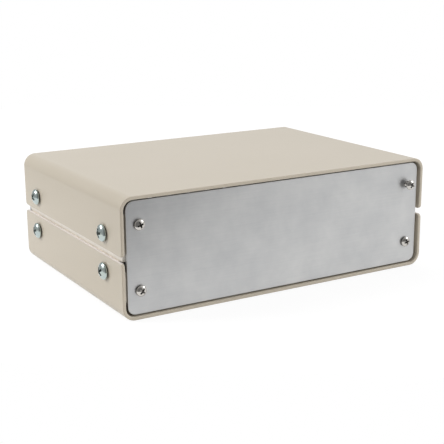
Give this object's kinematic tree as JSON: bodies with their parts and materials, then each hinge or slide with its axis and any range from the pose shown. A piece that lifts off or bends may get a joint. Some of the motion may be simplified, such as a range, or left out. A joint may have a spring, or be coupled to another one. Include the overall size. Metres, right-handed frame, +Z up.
{
  "type": "vented instrument enclosure",
  "caption": "Low aluminium instrument case: folded U-shaped top and bottom covers screwed to side brackets with a slot between them, and bare aluminium end panels.",
  "frame": {"origin": "middle of the underside, on the outer face of the bottom cover", "axes": "+X to the right across the front, +Y from the front panel to the rear panel, +Z up"},
  "size_m": [0.1842, 0.1292, 0.059],
  "materials": {
    "cover_paint": "semi-matte warm light beige paint on aluminium sheet",
    "panel_aluminium": "bare, finely brushed",
    "bracket_aluminium": "bare mill finish",
    "zinc_screw": "clear bluish zinc plating",
    "nickel_screw": "bright nickel plating"
  },
  "bodies": {
    "root": {"top_cover": "cover_paint", "bottom_cover": "cover_paint", "front_panel": "panel_aluminium", "rear_panel": "panel_aluminium", "left_bracket": "bracket_aluminium", "right_bracket": "bracket_aluminium", "cover_screw_left_front_top": "zinc_screw", "cover_screw_left_front_bottom": "zinc_screw", "cover_screw_left_rear_top": "zinc_screw", "cover_screw_left_rear_bottom": "zinc_screw", "cover_screw_right_front_top": "zinc_screw", "cover_screw_right_front_bottom": "zinc_screw", "cover_screw_right_rear_top": "zinc_screw", "cover_screw_right_rear_bottom": "zinc_screw", "front_panel_screw_left_top": "nickel_screw", "front_panel_screw_left_bottom": "nickel_screw", "front_panel_screw_right_top": "nickel_screw", "front_panel_screw_right_bottom": "nickel_screw", "rear_panel_screw_left_top": "nickel_screw", "rear_panel_screw_left_bottom": "nickel_screw", "rear_panel_screw_right_top": "nickel_screw", "rear_panel_screw_right_bottom": "nickel_screw"}
  },
  "joints": []
}
